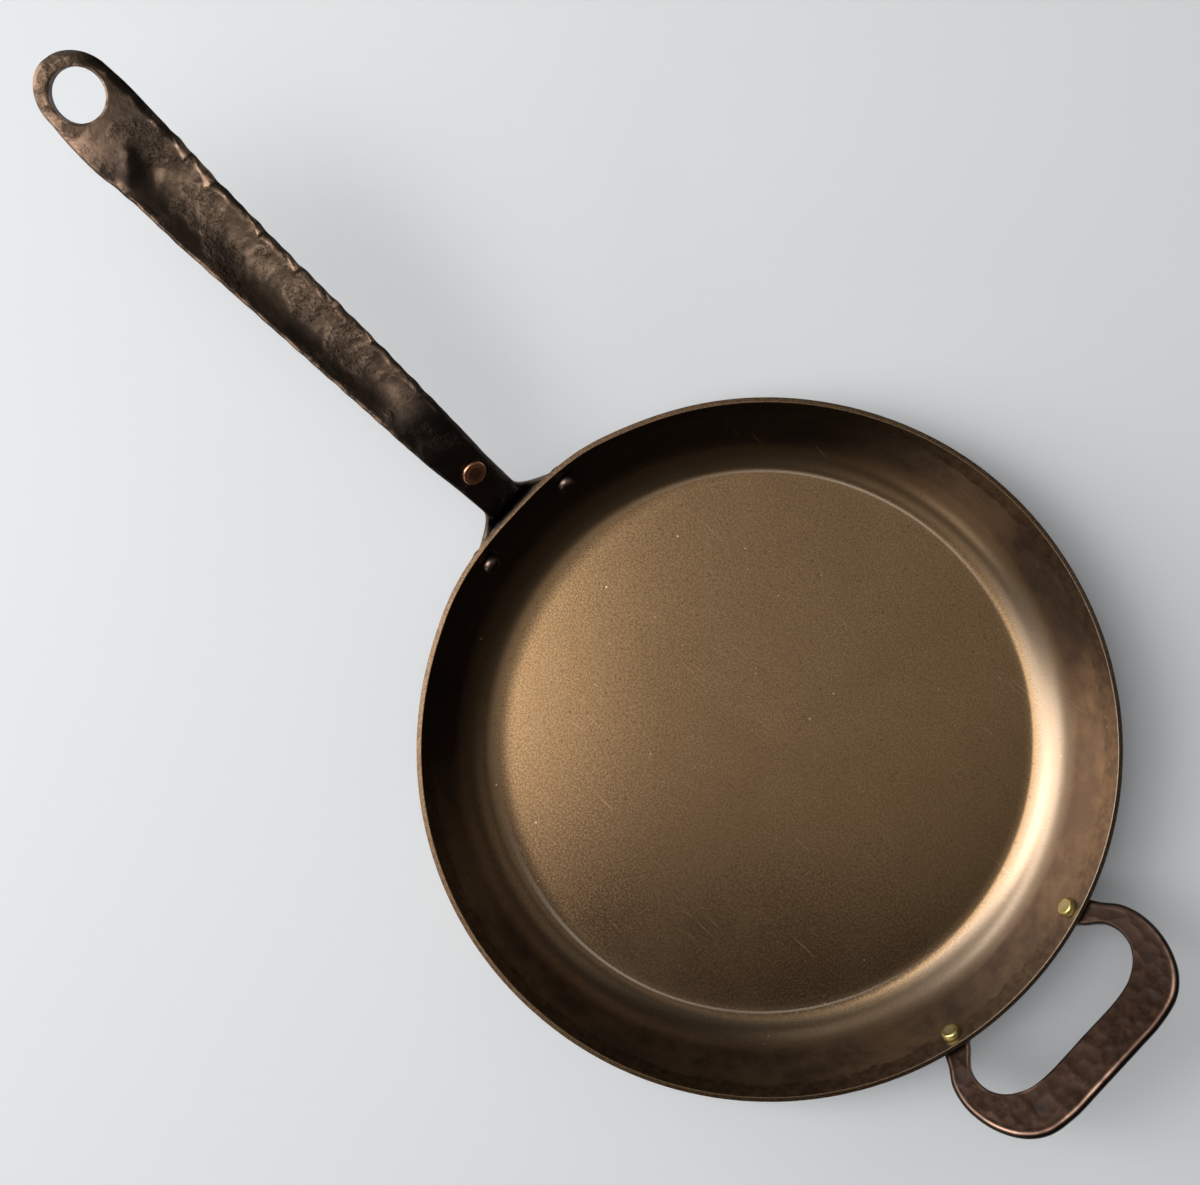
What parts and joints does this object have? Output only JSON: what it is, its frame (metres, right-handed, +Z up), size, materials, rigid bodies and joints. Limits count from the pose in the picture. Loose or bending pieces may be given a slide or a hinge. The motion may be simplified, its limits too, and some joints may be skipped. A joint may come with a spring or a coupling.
{
  "type": "skillet",
  "caption": "Forged carbon-steel skillet: round flat-floored pan with sloping wall, a long hollowed handle with hanging eye, and a hammered helper loop, all riveted on.",
  "frame": {"origin": "centre of the flat base, on the surface the pan stands on", "axes": "+X from the pan's centre along the long handle, +Z up out of the pan, +Y to the left of someone looking along the long handle from the pan"},
  "size_m": [0.5973, 0.305, 0.1191],
  "materials": {
    "bronzed_steel": "seasoned bronze-brown, satin",
    "forged_steel": "hammered, dark brown oxide",
    "helper_steel": "hammered, dark copper-brown, edges worn bright",
    "rivet_steel": "dark oxide, worn",
    "copper": "aged copper",
    "brass": "satin brass"
  },
  "bodies": {
    "root": {"pan_body": "bronzed_steel", "handle_bracket": "forged_steel", "long_handle": "forged_steel", "helper_handle": "helper_steel", "copper_handle_rivet": "copper", "steel_bracket_rivet_right": "rivet_steel", "steel_bracket_rivet_left": "rivet_steel", "brass_helper_rivet_right": "brass", "brass_helper_rivet_left": "brass"}
  },
  "joints": []
}
